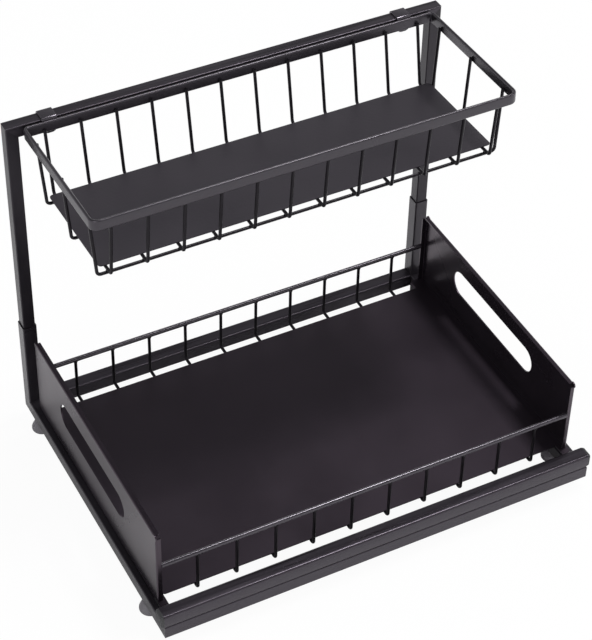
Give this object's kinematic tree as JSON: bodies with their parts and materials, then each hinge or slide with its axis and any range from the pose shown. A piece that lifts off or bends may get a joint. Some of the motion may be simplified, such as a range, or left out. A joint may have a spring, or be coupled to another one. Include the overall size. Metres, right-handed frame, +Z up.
{
  "type": "under-sink pull-out shelf",
  "caption": "Black metal under-sink shelf with a pull-out tray between slotted side plates and a wire basket hooked over an upright frame.",
  "frame": {"origin": "on the floor, in the middle of the whole footprint", "axes": "+Z up, +Y from the open front to the uprights at the back, +X to the right as seen from the front"},
  "size_m": [0.4064, 0.2982, 0.3286],
  "materials": {
    "black_coat": "satin",
    "suction_rubber": "satin",
    "plug_plastic": "satin",
    "nylon": "satin",
    "zinc_steel": "satin"
  },
  "bodies": {
    "base": {"front_cross_tube": "black_coat", "rear_cross_tube": "black_coat", "left_side_rail": "black_coat", "left_sleeve": "black_coat", "left_front_foot": "suction_rubber", "left_rear_foot": "suction_rubber", "left_track": "zinc_steel", "left_glide": "nylon", "right_side_rail": "black_coat", "right_sleeve": "black_coat", "right_front_foot": "suction_rubber", "right_rear_foot": "suction_rubber", "right_track": "zinc_steel", "right_glide": "nylon"},
    "tray": {"front_pull_bar": "black_coat", "tray_front_rod": "black_coat", "tray_rear_rod": "black_coat", "tray_cross_wires": "black_coat", "tray_floor_sheet": "black_coat", "left_side_plate": "black_coat", "left_runner": "black_coat", "left_bar_plug": "plug_plastic", "left_roller_axle": "zinc_steel", "right_side_plate": "black_coat", "right_runner": "black_coat", "right_bar_plug": "plug_plastic", "right_roller_axle": "zinc_steel"},
    "left_wheel": {"left_roller": "nylon"},
    "right_wheel": {"right_roller": "nylon"},
    "upper_frame": {"left_post": "black_coat", "right_post": "black_coat", "crossbar": "black_coat"},
    "basket": {"basket_rim": "black_coat", "basket_cross_wires": "black_coat", "basket_long_wires": "black_coat", "basket_floor_sheet": "black_coat", "left_hook": "black_coat", "right_hook": "black_coat"}
  },
  "joints": [
    {"name": "tray_slide", "type": "slide", "parent": "base", "child": "tray", "axis": [0, -1, 0], "range_m": [0, 0.17]},
    {"name": "left_roller_spin", "type": "hinge", "parent": "tray", "child": "left_wheel", "pos_m": [-0.1833, 0.11085, 0.0173], "axis": [1, 0, 0], "continuous": true},
    {"name": "right_roller_spin", "type": "hinge", "parent": "tray", "child": "right_wheel", "pos_m": [0.1833, 0.11085, 0.0173], "axis": [1, 0, 0], "continuous": true},
    {"name": "upper_frame_lift", "type": "slide", "parent": "base", "child": "upper_frame", "axis": [0, 0, 1], "range_m": [0, 0.095]},
    {"name": "basket_lift", "type": "slide", "parent": "upper_frame", "child": "basket", "axis": [0, 0, 1], "range_m": [0, 0.02]}
  ],
  "couplings": [
    {"joint": "left_roller_spin", "follows": "tray_slide", "rad_per_m": 212.77},
    {"joint": "right_roller_spin", "follows": "tray_slide", "rad_per_m": 212.77}
  ]
}
